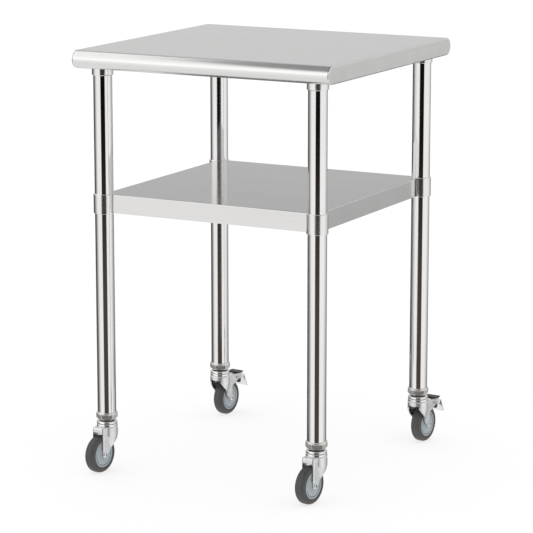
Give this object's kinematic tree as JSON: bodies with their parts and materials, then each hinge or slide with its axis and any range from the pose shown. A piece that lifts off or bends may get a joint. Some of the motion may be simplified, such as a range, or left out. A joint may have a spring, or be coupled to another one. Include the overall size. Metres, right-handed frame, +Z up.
{
  "type": "kitchen island cart",
  "caption": "Square stainless prep cart with rolled-edge worktop, clamped undershelf, round legs and swivel casters, braked at the rear.",
  "frame": {"origin": "on the floor, under the middle of the cart's whole outline, casters and brake pedals included", "axes": "+Z up from the floor to the worktop; -Y is the front, the side away from the braked casters; +X is the cart's right seen from the front"},
  "size_m": [0.6096, 0.6731, 0.927],
  "materials": {
    "satin_sheet": "satin brushed stainless sheet",
    "polished_tube": "polished stainless tube",
    "cast_zinc": "dull plated casting",
    "chrome_plate": "bright plated pressing",
    "galvanised": "galvanised channel",
    "black_plastic": "matt black",
    "grey_plastic": "light blue-grey moulding, semi-gloss",
    "grey_rubber": "dark grey thermoplastic rubber",
    "bearing_steel": "ground steel",
    "black_rubber": "matt black rubber"
  },
  "bodies": {
    "cart_frame": {"worktop_skin": "satin_sheet", "worktop_cross_channels": "galvanised", "worktop_centre_channel": "galvanised", "leg_sockets": "polished_tube", "socket_set_screws": "bearing_steel", "foot_inserts": "cast_zinc", "caster_stems": "cast_zinc", "stem_washers": "black_plastic", "swivel_heads": "chrome_plate", "swivel_balls": "bearing_steel", "front_left_leg": "polished_tube", "front_right_leg": "polished_tube", "rear_left_leg": "polished_tube", "rear_right_leg": "polished_tube"},
    "shelf": {"shelf_pan": "satin_sheet", "shelf_channel": "galvanised", "shelf_collars": "polished_tube", "shelf_set_screws": "bearing_steel"},
    "front_left_caster": {"front_left_fork": "chrome_plate", "front_left_swivel_race": "chrome_plate", "front_left_axle_bolt": "chrome_plate", "front_left_axle_nut": "chrome_plate", "front_left_axle_spacers": "bearing_steel"},
    "front_left_wheel": {"front_left_wheel_hub": "grey_plastic", "front_left_tyre": "grey_rubber", "front_left_wheel_bush": "bearing_steel"},
    "front_right_caster": {"front_right_fork": "chrome_plate", "front_right_swivel_race": "chrome_plate", "front_right_axle_bolt": "chrome_plate", "front_right_axle_nut": "chrome_plate", "front_right_axle_spacers": "bearing_steel"},
    "front_right_wheel": {"front_right_wheel_hub": "grey_plastic", "front_right_tyre": "grey_rubber", "front_right_wheel_bush": "bearing_steel"},
    "rear_left_caster": {"rear_left_fork": "chrome_plate", "rear_left_swivel_race": "chrome_plate", "rear_left_axle_bolt": "chrome_plate", "rear_left_axle_nut": "chrome_plate", "rear_left_axle_spacers": "bearing_steel", "rear_left_brake_pin": "bearing_steel"},
    "rear_left_wheel": {"rear_left_wheel_hub": "grey_plastic", "rear_left_tyre": "grey_rubber", "rear_left_wheel_bush": "bearing_steel"},
    "rear_left_brake": {"rear_left_brake_pedal": "chrome_plate", "rear_left_brake_tab": "black_plastic", "rear_left_brake_shoe": "black_rubber"},
    "rear_right_caster": {"rear_right_fork": "chrome_plate", "rear_right_swivel_race": "chrome_plate", "rear_right_axle_bolt": "chrome_plate", "rear_right_axle_nut": "chrome_plate", "rear_right_axle_spacers": "bearing_steel", "rear_right_brake_pin": "bearing_steel"},
    "rear_right_wheel": {"rear_right_wheel_hub": "grey_plastic", "rear_right_tyre": "grey_rubber", "rear_right_wheel_bush": "bearing_steel"},
    "rear_right_brake": {"rear_right_brake_pedal": "chrome_plate", "rear_right_brake_tab": "black_plastic", "rear_right_brake_shoe": "black_rubber"}
  },
  "joints": [
    {"name": "shelf_height", "type": "slide", "parent": "cart_frame", "child": "shelf", "axis": [0, 0, 1], "range_m": [-0.3, 0.15]},
    {"name": "front_left_swivel", "type": "hinge", "parent": "cart_frame", "child": "front_left_caster", "pos_m": [-0.257, -0.2696, 0.1], "axis": [0, 0, 1], "continuous": true},
    {"name": "front_left_roll", "type": "hinge", "parent": "front_left_caster", "child": "front_left_wheel", "pos_m": [-0.26062, -0.29535, 0.041], "axis": [0.9903, -0.1392, 0], "continuous": true},
    {"name": "front_right_swivel", "type": "hinge", "parent": "cart_frame", "child": "front_right_caster", "pos_m": [0.257, -0.2696, 0.1], "axis": [0, 0, 1], "continuous": true},
    {"name": "front_right_roll", "type": "hinge", "parent": "front_right_caster", "child": "front_right_wheel", "pos_m": [0.25338, -0.29535, 0.041], "axis": [0.9903, -0.1392, 0], "continuous": true},
    {"name": "rear_left_swivel", "type": "hinge", "parent": "cart_frame", "child": "rear_left_caster", "pos_m": [-0.257, 0.2444, 0.1], "axis": [0, 0, 1], "continuous": true},
    {"name": "rear_left_roll", "type": "hinge", "parent": "rear_left_caster", "child": "rear_left_wheel", "pos_m": [-0.25451, 0.27028, 0.041], "axis": [0.9954, -0.0958, 0], "continuous": true},
    {"name": "rear_left_brake_press", "type": "hinge", "parent": "rear_left_caster", "child": "rear_left_brake", "pos_m": [-0.25221, 0.29417, 0.086], "axis": [-0.9954, 0.0958, 0], "range_deg": [0, 18]},
    {"name": "rear_right_swivel", "type": "hinge", "parent": "cart_frame", "child": "rear_right_caster", "pos_m": [0.257, 0.2444, 0.1], "axis": [0, 0, 1], "continuous": true},
    {"name": "rear_right_roll", "type": "hinge", "parent": "rear_right_caster", "child": "rear_right_wheel", "pos_m": [0.25949, 0.27028, 0.041], "axis": [0.9954, -0.0958, 0], "continuous": true},
    {"name": "rear_right_brake_press", "type": "hinge", "parent": "rear_right_caster", "child": "rear_right_brake", "pos_m": [0.26179, 0.29417, 0.086], "axis": [-0.9954, 0.0958, 0], "range_deg": [0, 18]}
  ]
}
